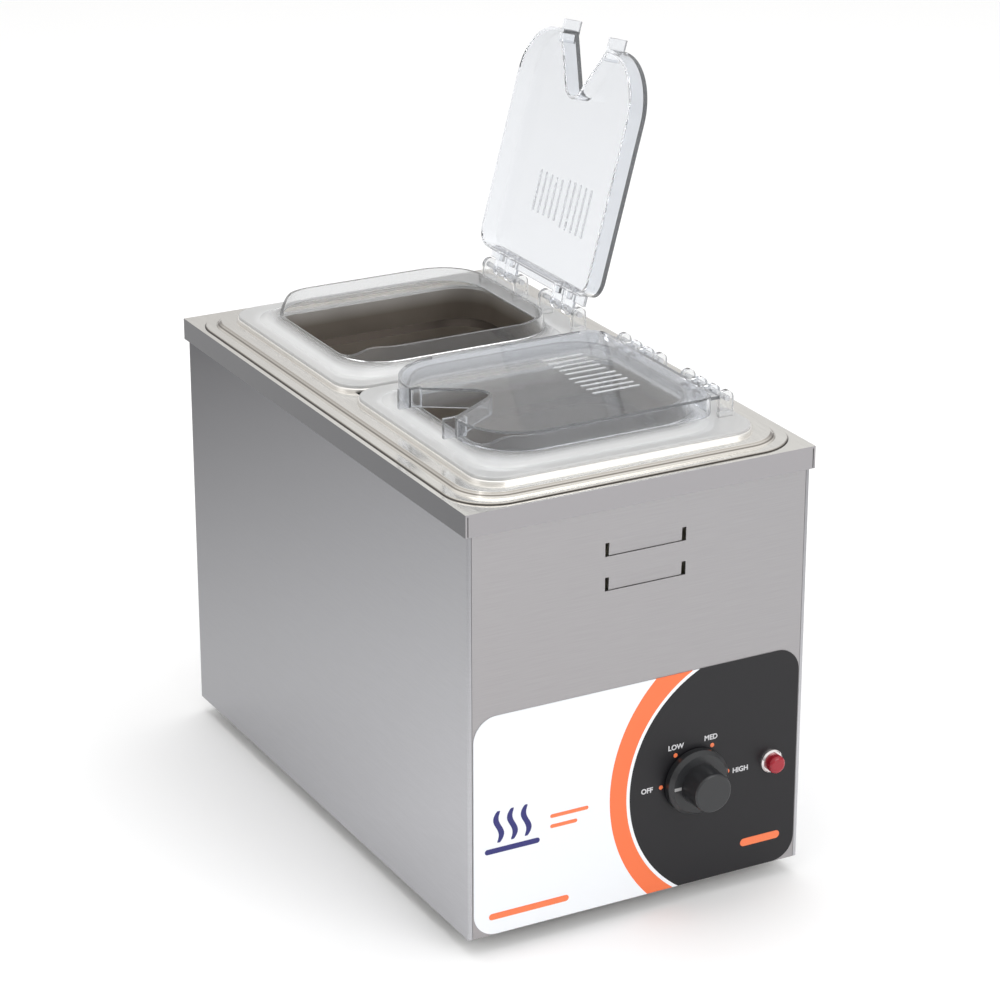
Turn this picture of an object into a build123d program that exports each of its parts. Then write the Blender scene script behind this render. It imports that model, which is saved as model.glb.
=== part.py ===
"""Countertop food pan warmer holding two small deep pans with flip-top lids.

Millimetres, +Z up, the control front faces -Y.
The origin is the centre of the base plate's underside, level with the cabinet's lower edge.
"""
from build123d import *
import math
import os

# Cabinet
deck_border_x = 20.3
deck_border_y = 20.0
deck_top = 251.2
deck_sheet = 1.2
lip_height = 13.0
lip_gap = 0.5
body_inset = 1.9
panel_sheet = 1.0
corner_return = 2.4
panel_seam = 0.25
corner_bend = 1.3
joggle_width = 10.0
# Deck pressing
step_margin_x = 2.8
step_margin_y = 3.3
step_corner = 28.0
step_rise = 1.2
step_run = 1.0
bead_margin = 9.0
bead_run = 3.0
bead_rise = 2.8
bead_corner = 22.0
# Well
pan_rest_x = 8.0
pan_rest_y = 9.0
well_corner = 22.0
well_floor_z = 135.0
well_sheet = 1.0
well_step_back = 2.0
well_flange = 9.0
# Pans
pan_width = 176.0
pan_depth = 162.0
pan_gap = 2.0
pan_corner = 18.0
pan_sheet = 1.0
pan_edge_turn = 2.0
pan_flange = 13.0
pan_mouth_corner = 24.0
pan_drop = 100.0
pan_shoulder_drop = 22.0
pan_shoulder_height = 4.0
pan_shoulder_inset = 3.0
pan_draft = 5.0
pan_floor_rounding = 8.0
# Lid bases
lid_edge_inset = 1.0
lid_sheet = 2.0
lid_spigot_drop = 1.9
lid_spigot_wall = 1.5
lid_spigot_clearance = 0.7
lid_edge_round = 0.9
curb_low_margin = 6.0
curb_high_margin = 18.0
curb_side_margin = 9.0
curb_shoulder_rise = 4.5
curb_shoulder_low = 10.0
curb_shoulder_high = 6.5
curb_shoulder_side = 8.6
curb_rise = 13.0
curb_taper = 1.5
curb_corner = 21.0
curb_collar_corner = 30.0
curb_drop_start = 8.0
curb_drop_run = 20.0
curb_drop_lift = 0.2
# Flaps and hinges
hinge_margin = 10.0
hinge_rise = 15.0
hinge_station_inset = 31.0
ear_offset = 20.0
knuckle_offset = 6.7
ear_width = 3.0
ear_radius = 4.4
knuckle_width = 4.0
knuckle_radius = 3.7
pin_radius = 1.6
pin_running_clearance = 0.06
pin_overhang = 0.8
flap_start = 11.0
flap_end_margin = 12.0
flap_side_margin = 5.5
flap_top = 6.0
flap_skirt = 11.5
flap_sheet = 2.0
flap_corner_hinge = 12.0
strip_margin = 9.0
strip_from_axis = 5.2
strip_top = 2.4
flap_corner_front = 35.0
notch_depth = 42.0
notch_mouth_half = 27.0
notch_tip_radius = 8.8
notch_mouth_radius = 4.0
tab_stick_out = 6.5
tab_thickness = 2.5
tab_length = 14.0
tab_inward = 1.5
flap_open_angle = 105.0
# Front panel
louver_width = 50.5
louver_x = 2.3
louver_height = 7.9
louver_pitch = 20.0
louver_low_z = 190.5
louver_end_slot = 2.5
louver_push = 0.6
louver_gap = 0.3
label_margin = 0.5
label_height = 131.5
label_thickness = 0.5
label_corner = 14.0
# Control knob and its switch
knob_from_lamp = 50.5
control_z = 65.0
skirt_radius = 19.4
skirt_height = 6.0
skirt_bevel = 2.2
cap_radius = 12.0
cap_height = 14.0
knob_running_gap = 0.8
pointer_length = 4.4
pointer_width = 1.8
pointer_rise = 0.3
shaft_radius = 3.0
shaft_flat = 1.0
shaft_running_clearance = 0.05
shaft_in_switch = 14.0
bushing_radius = 4.8
bushing_reach = 3.2
bushing_nut_radius = 7.0
bushing_nut_height = 2.4
nut_recess_radius = 9.0
switch_size = 34.0
switch_depth = 32.0
hole_clearance = 0.2
# Pilot lamp
lamp_inset = 19.9
bezel_radius = 7.0
bezel_height = 2.4
lens_radius = 5.3
lens_rise = 8.0
lamp_body_radius = 6.0
lamp_body_length = 26.0
lamp_nut_radius = 8.0
lamp_nut_height = 4.0
# Base and feet
base_sheet = 1.2
base_flange = 14.0
foot_radius = 12.0
foot_height = 10.0
foot_bevel = 1.2
foot_inset_x = 26.4
foot_inset_y = 31.1
foot_stem_radius = 2.4
foot_stem_end = 2.0
foot_washer_radius = 6.0
foot_washer_height = 1.0
foot_nut_radius = 4.6
foot_clearance = 0.1
foot_nut_height = 4.0
# Heater
element_radius = 4.0
element_margin_x = 20.0
element_margin_y = 34.0
element_bend = 25.0
element_end_x = 15.0
element_end_bend = 10.0
element_end_drop = 25.0
cold_pin_radius = 1.6
cold_pin_length = 8.0
clamp_margin = 10.0
clamp_width = 12.0
clamp_sheet = 1.5
clamp_share = 0.5
stud_radius = 2.0
stud_length = 16.0
stud_nut_radius = 4.0
stud_nut_height = 3.6
shield_top_z = 116.0
shield_sheet = 1.0
shield_flange = 12.0
shield_slot_length = 50.0
shield_slot_width = 20.0
insulation_thickness = 14.0
insulation_top_gap = 1.2
insulation_clearance = 0.3
limit_radius = 10.0
limit_height = 8.0
limit_y = 25.0
# Wiring and rear panel
block_size = (50.0, 24.0, 20.8)
block_from_rear = 61.0
wire_radius = 1.2
wire_bend = 9.0
wire_bend_short = 4.5
wire_slack = 4.0
wire_tail = 5.0
lamp_wire_y = 60.0
wire_drop = 22.0
wire_step = 16.0
wire_lift = 17.0
ground_inset_x = 26.4
ground_from_rear = 76.0
gland_inset = 46.4
gland_z = 35.0
gland_radius = 8.0
gland_bore = 4.5
gland_hex_radius = 11.0
gland_hex_height = 5.0
gland_dome_height = 7.0
gland_tail = 12.0
vent_slots = 7
vent_pitch = 12.0
vent_length = 40.0
vent_width = 4.0
vent_z = 190.0
screw_radius = 1.6
screw_head_radius = 3.0
screw_head_height = 2.2
screw_length = 6.0
screw_heights = (20.0, 125.0, 230.0)

# Worked out from the sizes above
pan_pitch = pan_depth + pan_gap
pan_mouth_width = pan_width - 2 * pan_flange
pan_mouth_depth = pan_depth - 2 * pan_flange
well_width = pan_width - 2 * pan_rest_x
well_depth = pan_pitch + pan_depth - 2 * pan_rest_y
deck_width = pan_width + 2 * deck_border_x
deck_depth = pan_pitch + pan_depth + 2 * deck_border_y
half_width = deck_width / 2 - body_inset
half_depth = deck_depth / 2 - body_inset
front_y = -half_depth
rear_y = half_depth
deck_underside = deck_top - deck_sheet
seat_z = deck_top + step_rise + bead_rise
seat_underside = seat_z - deck_sheet
pan_rim_z = seat_z + pan_edge_turn
pan_centres = {"front": -pan_pitch / 2, "rear": pan_pitch / 2}
lid_top_z = pan_rim_z + lid_sheet
hinge_z = seat_z + hinge_rise
label_face_y = front_y - label_thickness
well_underside = well_floor_z - well_sheet
element_z = well_underside - element_radius
clamp_top_z = element_z - element_radius
lamp_x = half_width - lamp_inset
knob_x = lamp_x - knob_from_lamp
foot_x = half_width - foot_inset_x
foot_y = half_depth - foot_inset_y
element_half_x = well_width / 2 - element_margin_x
element_half_y = well_depth / 2 - element_margin_y
clamp_half_length = element_half_x + clamp_margin
clamp_y = clamp_share * element_half_y
block_y = rear_y - block_from_rear
ground_x = ground_inset_x - half_width
ground_y = rear_y - ground_from_rear
gland_x = half_width - gland_inset
curb_low_x = curb_low_margin - pan_width / 2
curb_high_x = pan_width / 2 - curb_high_margin
curb_half = pan_depth / 2 - curb_side_margin
hinge_x = pan_width / 2 - hinge_margin
flap_half = curb_half - flap_side_margin
flap_end = hinge_x + pan_width / 2 - flap_end_margin
hinge_station = flap_half - hinge_station_inset
notch_tip = flap_end - notch_depth
tab_reach = flap_end + tab_stick_out


def section(z, half_x, half_y, corner, x=0.0, y=0.0):
    """A rounded rectangle lying level at height z."""
    return Pos(x, y, z) * RectangleRounded(2 * half_x, 2 * half_y, corner)


def block(low, high):
    """A box between two opposite corners."""
    size = [b - a for a, b in zip(low, high)]
    middle = [(a + b) / 2 for a, b in zip(low, high)]
    return Pos(*middle) * Box(*size)


def tiers(levels, y=0.0):
    """Lofted steps through levels of (z, low_x, high_x, half_y, corner)."""
    faces = []
    for z, low_x, high_x, half_y, corner in levels:
        faces.append(section(z, (high_x - low_x) / 2, half_y, corner, (low_x + high_x) / 2, y).face())
    solid = None
    for lower, upper in zip(faces, faces[1:]):
        step = loft([lower, upper])
        solid = step if solid is None else solid + step
    return solid


def rod(radius, start, end):
    """A round bar from one point to another."""
    along = Vector(*end) - Vector(*start)
    return extrude(Plane(origin=start, z_dir=along) * Circle(radius), along.length)


def hexagon(radius, height):
    """A hexagonal prism rising from z = 0."""
    return extrude(RegularPolygon(radius, 6), height)


def on_front(x, z, y=front_y):
    """A place on the front whose local +Z points out towards the user."""
    return Location((x, y, z), (90, 0, 0))


def on_rear(x, z, y=rear_y):
    """A place on the rear whose local +Z points out to the back."""
    return Location((x, y, z), (-90, 0, 0))


def tube(points, bends, radius):
    """A round bar bent through the points, with one radius for each corner."""
    path = FilletPolyline(*points, radius=bends)
    return sweep(Plane(origin=path @ 0, z_dir=path % 0) * Circle(radius), path=path)


def deck_form(drop, inset):
    """The deck's outer form, lowered and drawn in by a sheet thickness for its inside."""
    top = deck_top - drop
    half_x = deck_width / 2
    half_y = deck_depth / 2
    low = deck_top - lip_height - drop
    body = block((inset - half_x, inset - half_y, low), (half_x - inset, half_y - inset, top))
    step_x = half_x - step_margin_x - inset
    step_y = half_y - step_margin_y - inset
    step = loft([
        section(top, step_x, step_y, step_corner).face(),
        section(top + step_rise, step_x - step_run, step_y - step_run, step_corner - step_run).face(),
    ])
    bead_x = half_x - bead_margin - inset
    bead_y = half_y - bead_margin - inset
    bead_z = top + step_rise
    bead = loft([
        section(bead_z, bead_x, bead_y, bead_corner + bead_run).face(),
        section(bead_z + bead_rise, bead_x - bead_run, bead_y - bead_run, bead_corner).face(),
    ])
    return body, step, bead


def make_deck():
    outer = deck_form(0.0, 0.0)
    shell = outer[0] + outer[1] + outer[2]
    for hollow in deck_form(deck_sheet, deck_sheet):
        shell -= hollow
    opening = extrude(section(deck_underside, well_width / 2, well_depth / 2, well_corner), 20)
    shell -= opening
    for side in (-1, 1):
        for end in (-1, 1):
            near_x = side * (deck_width / 2 - deck_sheet)
            low_x, high_x = sorted((near_x, near_x - side * lip_gap))
            low_y, high_y = sorted((end * (deck_depth / 2 + 1), end * (deck_depth / 2 - deck_sheet)))
            shell -= block((low_x, low_y, deck_top - lip_height - 1), (high_x, high_y, deck_underside))
    return shell


def make_well_liner():
    half_x = well_width / 2 + well_step_back + well_sheet
    half_y = well_depth / 2 + well_step_back + well_sheet
    corner = well_corner + well_step_back
    height = seat_underside - well_underside
    outside = extrude(section(well_underside, half_x, half_y, corner), height)
    flange_z = seat_underside - well_sheet
    flange = extrude(section(flange_z, half_x + well_flange, half_y + well_flange, corner), well_sheet)
    inside = extrude(
        section(well_floor_z, half_x - well_sheet, half_y - well_sheet, corner - well_sheet), height)
    return outside + flange - inside


def make_side_panel(side):
    """A side sheet whose front and rear edges wrap the corners and step in behind the end panels."""
    inner = half_width - panel_sheet
    joggle_end = half_width - panel_sheet - joggle_width
    panel = block((inner, -half_depth, 0), (half_width, half_depth, deck_underside))
    for end in (-1, 1):
        outer_y = end * half_depth
        mid_y = end * (half_depth - panel_sheet)
        deep_y = end * (half_depth - 2 * panel_sheet)
        low_y, high_y = sorted((outer_y, mid_y))
        panel += block((half_width - corner_return, low_y, 0), (half_width, high_y, deck_underside))
        low_y, high_y = sorted((mid_y, deep_y))
        panel += block((joggle_end, low_y, 0), (inner, high_y, deck_underside))
        for height in screw_heights:
            if end > 0:
                hole = rod(screw_radius + 0.1, (screw_x(), deep_y - 1, height), (screw_x(), outer_y, height))
                panel -= hole
    bends = [edge for edge in panel.edges().filter_by(Axis.Z)
             if abs(edge.center().X - half_width) < 0.01 and abs(edge.length - deck_underside) < 0.01]
    panel = fillet(bends, corner_bend)
    return panel if side > 0 else mirror(panel, about=Plane.YZ)


def screw_x():
    return half_width - panel_sheet - joggle_width / 2


def end_panel():
    """A flat sheet that fills one end of the cabinet between the wrapped corners."""
    half = half_width - corner_return - panel_seam
    return block((-half, front_y, 0), (half, front_y + panel_sheet, deck_underside))


def louver(z):
    """A blade hinged on its upper edge, with its lower edge pressed into the cabinet."""
    half = louver_width / 2 - louver_end_slot
    top = z + louver_height
    back = front_y + panel_sheet
    profile = make_face(Polyline(
        (front_y, top), (back, top), (back + louver_push, z + louver_gap), (front_y + louver_push, z + louver_gap),
        close=True))
    return extrude(Plane(origin=(louver_x - half, 0, 0), x_dir=(0, 1, 0), z_dir=(1, 0, 0)) * profile, 2 * half)


def make_front_panel():
    panel = end_panel()
    for row in range(2):
        z = louver_low_z + row * louver_pitch
        slot = block((louver_x - louver_width / 2, front_y - 1, z),
                     (louver_x + louver_width / 2, front_y + panel_sheet + 1, z + louver_height))
        panel = panel - slot + louver(z)
    panel -= on_front(knob_x, control_z) * Cylinder(bushing_radius + hole_clearance, 10)
    panel -= on_front(lamp_x, control_z) * Cylinder(lamp_body_radius + hole_clearance, 10)
    return panel


def make_rear_panel():
    panel = mirror(end_panel(), about=Plane.XZ)
    for index in range(vent_slots):
        x = (index - (vent_slots - 1) / 2) * vent_pitch
        panel -= on_rear(x, vent_z) * extrude(SlotOverall(vent_length, vent_width, rotation=90), 10, both=True)
    panel -= on_rear(gland_x, gland_z) * Cylinder(gland_radius + hole_clearance, 10)
    for x in (-screw_x(), screw_x()):
        for height in screw_heights:
            panel -= on_rear(x, height) * Cylinder(screw_radius + 0.1, 10)
    return panel


def make_base_plate():
    half_x = half_width - panel_sheet
    half_y = half_depth - 2 * panel_sheet
    flange_x = half_x - joggle_width - panel_seam
    plate = block((-half_x, -half_y, 0), (half_x, half_y, base_sheet))
    for end in (-1, 1):
        low_y, high_y = sorted((end * half_y, end * (half_y + panel_sheet)))
        plate += block((-flange_x, low_y, 0), (flange_x, high_y, base_flange))
        low_x, high_x = sorted((end * half_x, end * (half_x - base_sheet)))
        plate += block((low_x, -half_y, 0), (high_x, half_y, base_flange))
    for x, y in foot_places():
        plate -= Pos(x, y, 0) * Cylinder(foot_stem_radius + hole_clearance, 10)
    plate -= Pos(ground_x, ground_y, 0) * Cylinder(foot_stem_radius + hole_clearance, 10)
    return plate


def foot_places():
    return [(x, y) for x in (-foot_x, foot_x) for y in (-foot_y, foot_y)]


def make_foot(x, y):
    """A round rubber foot, bevelled below, with a moulded stem through the base plate."""
    body = rod(foot_radius, (x, y, -foot_height), (x, y, 0))
    body = chamfer(body.edges().group_by(Axis.Z)[0], foot_bevel)
    stem_top = base_sheet + foot_washer_height + foot_nut_height + foot_stem_end
    return body + rod(foot_stem_radius, (x, y, -1), (x, y, stem_top))


def make_foot_washer(x, y):
    low_z = base_sheet
    high_z = base_sheet + foot_washer_height
    ring = rod(foot_washer_radius, (x, y, low_z), (x, y, high_z))
    return ring - rod(foot_stem_radius + foot_clearance, (x, y, low_z), (x, y, high_z))


def make_foot_nut(x, y):
    nut = Pos(x, y, base_sheet + foot_washer_height) * hexagon(foot_nut_radius, foot_nut_height)
    return nut - rod(foot_stem_radius + foot_clearance, (x, y, 0), (x, y, 10))


def make_label():
    half = half_width - corner_return - panel_seam - label_margin
    face = section(0, half, label_height / 2, label_corner)
    label = on_front(0, label_margin + label_height / 2) * extrude(face, label_thickness)
    label -= on_front(knob_x, control_z) * Cylinder(bushing_radius + hole_clearance, 10)
    return label - on_front(lamp_x, control_z) * Cylinder(lamp_body_radius + hole_clearance, 10)


def shaft_section(clearance):
    """A round shaft end with one flat, looking along it."""
    flat = shaft_radius - shaft_flat + clearance
    cut = Pos(0, flat + shaft_radius) * Rectangle(4 * shaft_radius, 2 * shaft_radius)
    return Circle(shaft_radius + clearance) - cut


def make_knob():
    """A skirted knob with a grip cap, hollow behind for the bushing nut and bored for a flatted shaft."""
    skirt = Cylinder(skirt_radius, skirt_height, align=(Align.CENTER, Align.CENTER, Align.MIN))
    skirt = chamfer(skirt.edges().group_by(Axis.Z)[-1], skirt_bevel)
    grip = Pos(0, 0, skirt_height) * extrude(Circle(cap_radius), cap_height, taper=2)
    grip = fillet(grip.edges().group_by(Axis.Z)[-1], 1.2)
    recess = Cylinder(nut_recess_radius, 2 * (bushing_nut_height + 1.6))
    bore = extrude(shaft_section(shaft_running_clearance), knob_bore_depth())
    return on_front(knob_x, control_z, knob_back_y()) * (skirt + grip - recess - bore)


def knob_back_y():
    return label_face_y - knob_running_gap


def knob_bore_depth():
    return skirt_height + cap_height - 3.0


def make_knob_pointer():
    """A raised line on the skirt that points to the OFF mark while the knob is at rest."""
    middle = skirt_radius - skirt_bevel - pointer_length / 2 - 0.3
    line = Pos(-middle, 0, skirt_height) * Box(
        pointer_length, pointer_width, pointer_rise, align=(Align.CENTER, Align.CENTER, Align.MIN))
    return on_front(knob_x, control_z, knob_back_y()) * line


def make_switch_shaft():
    """The flatted shaft, from inside the switch to the bottom of the knob's bore."""
    front = extrude(shaft_section(0.0), knob_bore_depth() - 0.2)
    rear_length = knob_running_gap + label_thickness + panel_sheet + shaft_in_switch
    rear = extrude(Circle(shaft_radius), -rear_length)
    return on_front(knob_x, control_z, knob_back_y()) * (front + rear)


def make_control_switch():
    """A stepless heat switch with its mounting bushing and two terminal tabs."""
    back = front_y + panel_sheet
    body = on_front(knob_x, control_z, back) * (Pos(0, 0, -switch_depth / 2) * Box(
        switch_size, switch_size, switch_depth))
    bushing_length = panel_sheet + label_thickness + bushing_reach
    bushing = on_front(knob_x, control_z, back) * extrude(Circle(bushing_radius), bushing_length)
    bore = on_front(knob_x, control_z, back) * extrude(
        Circle(shaft_radius + shaft_running_clearance), -(shaft_in_switch + 0.5))
    front_bore = on_front(knob_x, control_z, back) * extrude(
        Circle(shaft_radius + shaft_running_clearance), bushing_length)
    tab_y = back + switch_depth
    switch = body + bushing - bore - front_bore
    for x, z in switch_tabs():
        switch += block((x - 3, tab_y, z - 0.4), (x + 3, tab_y + 5, z + 0.4))
    return switch


def switch_tabs():
    return [(knob_x - 10, control_z + 6), (knob_x + 10, control_z - 6)]


def make_bushing_nut():
    nut = hexagon(bushing_nut_radius, bushing_nut_height) - Cylinder(bushing_radius + 0.05, 20)
    return on_front(knob_x, control_z, label_face_y) * nut


def make_lamp_bezel():
    ring = extrude(Circle(bezel_radius), bezel_height)
    ring = chamfer(ring.edges().group_by(Axis.Z)[-1], 0.9)
    return on_front(lamp_x, control_z, label_face_y) * (ring - Cylinder(lens_radius, 20))


def make_lamp_lens():
    """A red lens with a domed end, seated on the lamp body through the bezel."""
    lens = extrude(Circle(lens_radius), lens_rise)
    lens = fillet(lens.edges().group_by(Axis.Z)[-1], 2.2)
    return on_front(lamp_x, control_z, label_face_y) * lens


def make_lamp_body():
    length = lamp_body_length + label_thickness + panel_sheet
    body = on_front(lamp_x, control_z, label_face_y) * extrude(Circle(lamp_body_radius), -length)
    end_y = label_face_y + length
    return body + block((lamp_x - 3, end_y, control_z - 0.4), (lamp_x + 3, end_y + 5, control_z + 0.4))


def make_lamp_nut():
    nut = hexagon(lamp_nut_radius, lamp_nut_height) - Cylinder(lamp_body_radius + 0.05, 20)
    return on_front(lamp_x, control_z, front_y + panel_sheet + lamp_nut_height) * nut


def pan_levels(inset, floor_z):
    """The pan's walls from the rim down: straight collar, stacking shoulder, drafted body, rounded floor."""
    half_x = pan_mouth_width / 2 - inset
    half_y = pan_mouth_depth / 2 - inset
    corner = pan_mouth_corner - inset
    shoulder_z = pan_rim_z - pan_shoulder_drop
    sizes = [
        (pan_rim_z, 0.0, 0.0),
        (shoulder_z, 0.0, 0.0),
        (shoulder_z - pan_shoulder_height, pan_shoulder_inset, 0.0),
        (floor_z + pan_floor_rounding, pan_shoulder_inset + pan_draft, 2.0),
        (floor_z + pan_floor_rounding * 0.3, pan_shoulder_inset + pan_draft + 2.4, 4.0),
        (floor_z, pan_shoulder_inset + pan_draft + pan_floor_rounding, 9.0),
    ]
    levels = []
    for z, drawn_in, tighter in sizes:
        x = half_x - drawn_in
        levels.append((z, -x, x, half_y - drawn_in, corner - tighter))
    return levels


def make_pan(y):
    """A drawn pan with a flat rim whose edge is turned down onto the deck."""
    body = tiers(pan_levels(0.0, pan_rim_z - pan_drop), y)
    rim = extrude(section(seat_z, pan_width / 2, pan_depth / 2, pan_corner, y=y), pan_edge_turn)
    rim = fillet(rim.edges().group_by(Axis.Z)[-1], 0.9)
    under = extrude(
        section(seat_z, pan_width / 2 - pan_sheet, pan_depth / 2 - pan_sheet, pan_corner - pan_sheet, y=y),
        pan_edge_turn - pan_sheet)
    hollow = tiers(pan_levels(pan_sheet, pan_rim_z - pan_drop + pan_sheet), y)
    return rim - under + body - hollow


def curb_levels(inset):
    """The lid base's raised curb: sloped skirt, shoulder, and a steeper collar under the flap."""
    shoulder_z = lid_top_z + curb_shoulder_rise
    low = curb_low_x + inset
    high = curb_high_x - inset
    half = curb_half - inset
    low_2 = low + curb_shoulder_low
    high_2 = high - curb_shoulder_high
    half_2 = half - curb_shoulder_side
    corner = curb_collar_corner - inset
    top = lid_top_z + curb_rise
    return [
        (lid_top_z - lid_sheet, low - 1.5, high + 1.0, half + 2.0, curb_corner - inset),
        (shoulder_z, low_2, high_2, half_2, corner),
        (top, low_2 + curb_taper, high_2 - curb_taper, half_2 - curb_taper, corner - 1.5),
    ]


def make_lid_base(y):
    """The fixed half of a flip lid: rim, spigot, curb round the serving opening, and hinge ears."""
    half_x = pan_width / 2 - lid_edge_inset
    half_y = pan_depth / 2 - lid_edge_inset
    rim = extrude(section(pan_rim_z, half_x, half_y, pan_corner - lid_edge_inset, y=y), lid_sheet)
    rim = fillet(rim.edges().group_by(Axis.Z)[-1], lid_edge_round)
    spigot_inset = pan_sheet + lid_spigot_clearance
    spigot_x = pan_mouth_width / 2 - spigot_inset
    spigot_y = pan_mouth_depth / 2 - spigot_inset
    spigot_corner = pan_mouth_corner - spigot_inset
    spigot = extrude(
        section(pan_rim_z - lid_spigot_drop, spigot_x, spigot_y, spigot_corner, y=y), lid_spigot_drop + 1)
    bore = extrude(
        section(pan_rim_z - lid_spigot_drop, spigot_x - lid_spigot_wall, spigot_y - lid_spigot_wall,
                spigot_corner - lid_spigot_wall, y=y), lid_spigot_drop)
    base = rim + spigot + tiers(curb_levels(0.0), y) - bore - tiers(curb_levels(lid_sheet), y)
    low_rim_z = lid_top_z + curb_shoulder_rise + curb_drop_lift
    high_z = lid_top_z + curb_rise
    start_x = curb_low_x + curb_drop_start
    end_x = start_x + curb_drop_run
    clear_x = curb_low_x - 1
    clear_z = high_z + 1
    sweep_half = curb_drop_run / 2
    drop = Bezier((start_x, low_rim_z), (start_x + sweep_half, low_rim_z), (end_x - sweep_half, high_z),
                  (end_x, high_z))
    outer = Polyline((end_x, high_z), (end_x, clear_z), (clear_x, clear_z), (clear_x, low_rim_z),
                     (start_x, low_rim_z))
    wedge = make_face([drop, outer])
    base -= Plane(origin=(0, y + pan_depth / 2, 0), x_dir=(1, 0, 0), z_dir=(0, -1, 0)) * extrude(wedge, pan_depth)
    for ear_y in ear_places(y):
        base += hinge_ear(ear_y)
    for station in (-hinge_station, hinge_station):
        half_pin = ear_offset + ear_width
        base -= rod(pin_radius, (hinge_x, y + station - half_pin, hinge_z),
                    (hinge_x, y + station + half_pin, hinge_z))
    return base


def ear_places(y):
    return [y + station + side for station in (-hinge_station, hinge_station)
            for side in (-ear_offset, ear_offset)]


def hinge_ear(y):
    """An upright lug on the lid rim that carries one end of a hinge pin."""
    half = ear_width / 2
    post = block((hinge_x - ear_radius, y - half, lid_top_z - 0.5),
                 (hinge_x + ear_radius, y + half, hinge_z))
    return post + rod(ear_radius, (hinge_x, y - half, hinge_z), (hinge_x, y + half, hinge_z))


def make_hinge_pins(y):
    half = ear_offset + ear_width / 2 + pin_overhang
    return [rod(pin_radius, (hinge_x, y + station - half, hinge_z), (hinge_x, y + station + half, hinge_z))
            for station in (-hinge_station, hinge_station)]


def flap_outline(inset):
    """The flap's outline seen from above, drawn in by an inset; the hinge axis is the line x = 0."""
    half_angle = math.atan2(notch_mouth_half, flap_end - notch_tip)
    tip = notch_tip - inset / math.sin(half_angle)
    start = flap_start + inset
    end = flap_end - inset
    half = flap_half - inset
    mouth = (end - tip) * math.tan(half_angle)
    corners = [
        ((-start, -half), flap_corner_hinge - inset),
        ((-start, half), flap_corner_hinge - inset),
        ((-end, half), flap_corner_front - inset),
        ((-end, mouth), notch_mouth_radius - inset),
        ((-tip, 0), notch_tip_radius + inset),
        ((-end, -mouth), notch_mouth_radius - inset),
        ((-end, -half), flap_corner_front - inset),
    ]
    face = make_face(Polyline(*[point for point, radius in corners], close=True))
    for (x, y), radius in corners:
        near = face.vertices().sort_by_distance((x, y, 0))[0]
        face = fillet(near, radius)
    return face


def make_flap(y, angle):
    """A shallow clear flap with a spoon notch, two finger tabs, a hinge strip and four knuckles."""
    bottom = flap_top - flap_skirt
    shell = Pos(0, 0, bottom) * extrude(flap_outline(0.0), flap_skirt)
    shell -= Pos(0, 0, bottom) * extrude(flap_outline(flap_sheet), flap_skirt - flap_sheet)
    strip_half = flap_half - strip_margin
    shell += block((-flap_start - flap_sheet / 2, -strip_half, strip_top - flap_sheet),
                   (-strip_from_axis, strip_half, strip_top))
    for side in (-1, 1):
        near = side * (notch_mouth_half - tab_inward)
        low, high = sorted((near, near + side * tab_thickness))
        shell += block((-tab_reach, low, bottom), (tab_length - tab_reach, high, flap_top))
        for knuckle in (-knuckle_offset, knuckle_offset):
            shell += flap_knuckle(side * hinge_station + knuckle)
    for station in (-hinge_station, hinge_station):
        shell -= rod(pin_radius + pin_running_clearance, (0, station - ear_offset, 0),
                     (0, station + ear_offset, 0))
    return Location((hinge_x, y, hinge_z), (0, angle, 0)) * shell


def flap_knuckle(y):
    """A bored arm that joins the flap's rear edge to the pin."""
    half = knuckle_width / 2
    arm = block((-flap_start - 1, y - half, -knuckle_radius), (0, y + half, knuckle_radius))
    return arm + rod(knuckle_radius, (0, y - half, 0), (0, y + half, 0))


def make_heating_element():
    """A sheathed heating rod bent in a flat loop under the well, both ends turned down."""
    low_z = element_z - element_end_drop
    y = -element_half_y
    points = [
        (element_end_x, y, low_z), (element_end_x, y, element_z), (element_half_x, y, element_z),
        (element_half_x, -y, element_z), (-element_half_x, -y, element_z), (-element_half_x, y, element_z),
        (-element_end_x, y, element_z), (-element_end_x, y, low_z),
    ]
    bends = [element_end_bend] + 4 * [element_bend] + [element_end_bend]
    element = tube(points, bends, element_radius)
    for x in (-element_end_x, element_end_x):
        element += rod(cold_pin_radius, (x, y, low_z - cold_pin_length), (x, y, low_z + 1))
    return element


def make_clamp_bar(y):
    half = clamp_width / 2
    bar = block((-clamp_half_length, y - half, clamp_top_z - clamp_sheet), (clamp_half_length, y + half, clamp_top_z))
    return bar - rod(stud_radius + hole_clearance, (0, y, clamp_top_z - 10), (0, y, clamp_top_z + 1))


def make_clamp_stud(y):
    return rod(stud_radius, (0, y, well_underside - stud_length), (0, y, well_underside))


def make_clamp_nut(y):
    top = clamp_top_z - clamp_sheet
    nut = Pos(0, y, top - stud_nut_height) * hexagon(stud_nut_radius, stud_nut_height)
    return nut - rod(stud_radius + 0.05, (0, y, top - 10), (0, y, top + 1))


def make_heat_shield():
    """A tray between the side panels that parts the hot space from the controls."""
    half_x = half_width - panel_sheet
    half_y = half_depth - 2 * panel_sheet
    low = shield_top_z - shield_sheet
    shield = block((-half_x, -half_y, low), (half_x, half_y, shield_top_z))
    for side in (-1, 1):
        low_x, high_x = sorted((side * half_x, side * (half_x - shield_sheet)))
        shield += block((low_x, -half_y, low - shield_flange), (high_x, half_y, low))
    slot = Pos(0, -element_half_y, low - 5) * extrude(SlotOverall(shield_slot_length, shield_slot_width), 10)
    return shield - slot


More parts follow.
